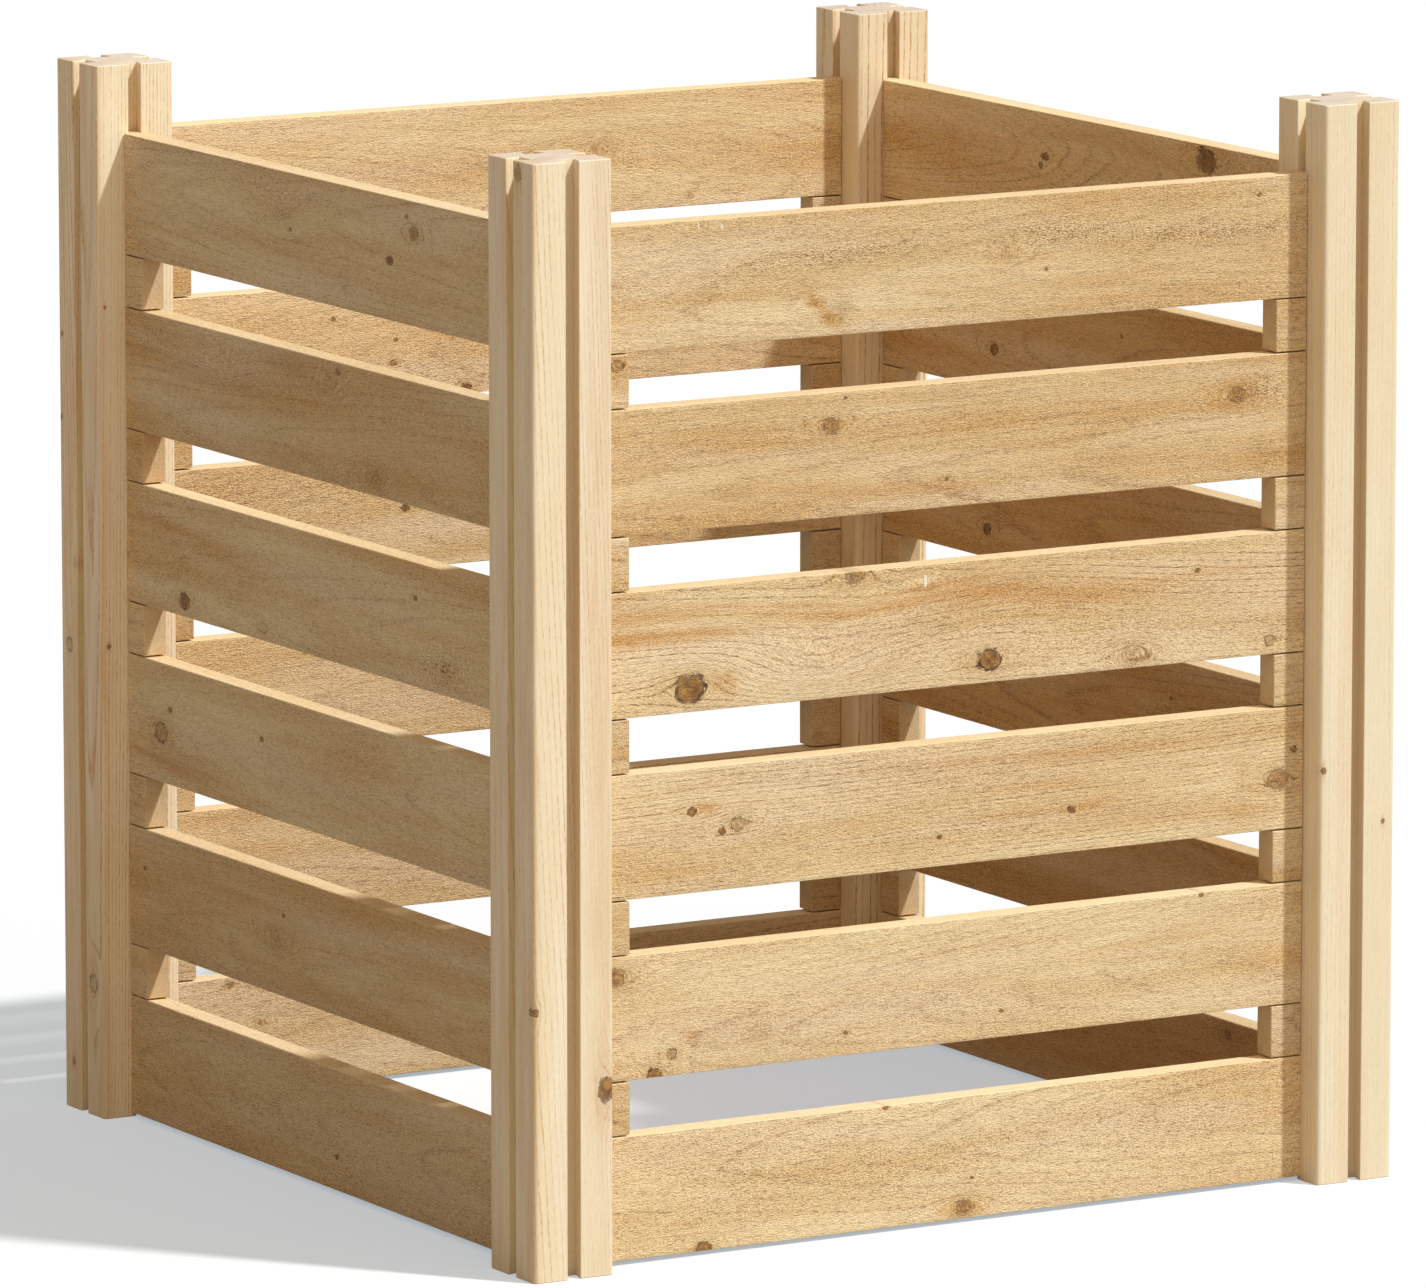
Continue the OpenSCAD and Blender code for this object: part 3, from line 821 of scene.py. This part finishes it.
for index, corner in enumerate(CORNERS):
    name = corner + "_post"
    low, high = node_box(name)
    centre = (low + high) / 2
    outline, outward = post_outline()
    levels = np.concatenate([[0, 0.5], np.linspace(6, POST_HEIGHT - 6, round(POST_HEIGHT / POST_GRID)),
                             [POST_HEIGHT - 0.5, POST_HEIGHT]])
    inset = np.where((levels == levels[0]) | (levels == levels[-1]), POST_END_EASE, 0.0)
    section = outline[None] - outward[None] * inset[:, None, None]
    along = np.repeat(levels[:, None, None], len(outline), axis=1)
    points = np.concatenate([along, section], axis=-1).reshape(-1, 3)
    quads, ends = tube_faces(len(levels), len(outline))
    placed = points[:, [1, 2, 0]] + [centre[0], centre[1], 0]
    piece = make_piece(name + "_wood", points, placed, quads, ends, POST_LOOKS[corner],
                       FIRST_POST_SEED + index, FRONT, POST_DEPTH, POST_WIDTH, [post_wood, post_end],
                       POST_WIDTH / 2 - FLAT_SKIN)
    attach(piece, FIXED_BODY)
    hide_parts(name)


def seen_by_eye(tree):
    """1 for light that reaches the camera straight, by reflection or through glass, and 0 for all other."""
    ray = add(tree, "LightPath")
    seen = add(tree, "Math", {0: ray["Is Camera Ray"], 1: ray["Is Glossy Ray"]}, operation="MAXIMUM")[0]
    return add(tree, "Math", {0: seen, 1: ray["Is Transmission Ray"]}, operation="MAXIMUM")[0]


# Floor: the camera sees it white with a grey shadow, and the wood gets only what a pale floor sends back
FLOOR_HALF = 15
floor_mesh = bpy.data.meshes.new("floor")
floor_mesh.from_pydata([(-FLOOR_HALF, -FLOOR_HALF, 0), (FLOOR_HALF, -FLOOR_HALF, 0),
                        (FLOOR_HALF, FLOOR_HALF, 0), (-FLOOR_HALF, FLOOR_HALF, 0)], [], [(0, 1, 2, 3)])
floor = put_in_scene("floor", floor_mesh)
floor_material = bpy.data.materials.new("pale_floor")
tree = empty_tree(floor_material)
seen = seen_by_eye(tree)
glow = add(tree, "Emission", {"Color": (0.366, 0.419, 0.464, 1), "Strength": 1.0})[0]
shown = add(tree, "BsdfDiffuse", {"Color": (0.533, 0.48, 0.439, 1)})[0]
shown = add(tree, "AddShader", {0: glow, 1: shown})[0]
bounce = add(tree, "BsdfDiffuse", {"Color": (0.3, 0.3, 0.3, 1)})[0]
add(tree, "OutputMaterial", {"Surface": add(tree, "MixShader", {0: seen, 1: bounce, 2: shown})[0]})
floor_mesh.materials.append(floor_material)

# Light: a high sun from the front right, an even sky, and a broad warm fill from the front
world = bpy.data.worlds.new("studio")
bpy.context.scene.world = world
tree = empty_tree(world)
seen = seen_by_eye(tree)
white = add(tree, "Background", {"Color": (1, 1, 1, 1), "Strength": 1.0})[0]
sky = add(tree, "Background", {"Color": (1, 0.84, 0.65, 1), "Strength": 0.3})[0]
add(tree, "OutputWorld", {"Surface": add(tree, "MixShader", {0: seen, 1: sky, 2: white})[0]})

for name, toward, energy, colour, angle in (
        ("sun", (0.350, -0.442, 0.826), 3.74, (0.84, 0.92, 1.0), 3),
        ("fill", (-0.2, -1.0, 0.25), 0.98, (1.0, 0.9, 0.73), 100)):
    lamp_data = bpy.data.lights.new(name, "SUN")
    lamp_data.energy = energy
    lamp_data.color = colour
    lamp_data.angle = math.radians(angle)
    lamp = put_in_scene(name, lamp_data)
    lamp.rotation_euler = Vector(toward).to_track_quat("Z", "Y").to_euler()

# Camera: a long lens from the front left, a little above the bin
LOOKING_DOWN = 9.586
TURNED_RIGHT = 30.25
camera_data = bpy.data.cameras.new("camera")
camera_data.sensor_width = 36
camera_data.lens = 307.2
camera_data.clip_end = 100
camera = put_in_scene("camera", camera_data)
camera.location = (-4.416, -7.564, 1.849)
camera.rotation_euler = (math.radians(90 - LOOKING_DOWN), 0, math.radians(-TURNED_RIGHT))
bpy.context.scene.camera = camera
bpy.context.scene.view_settings.view_transform = "Standard"
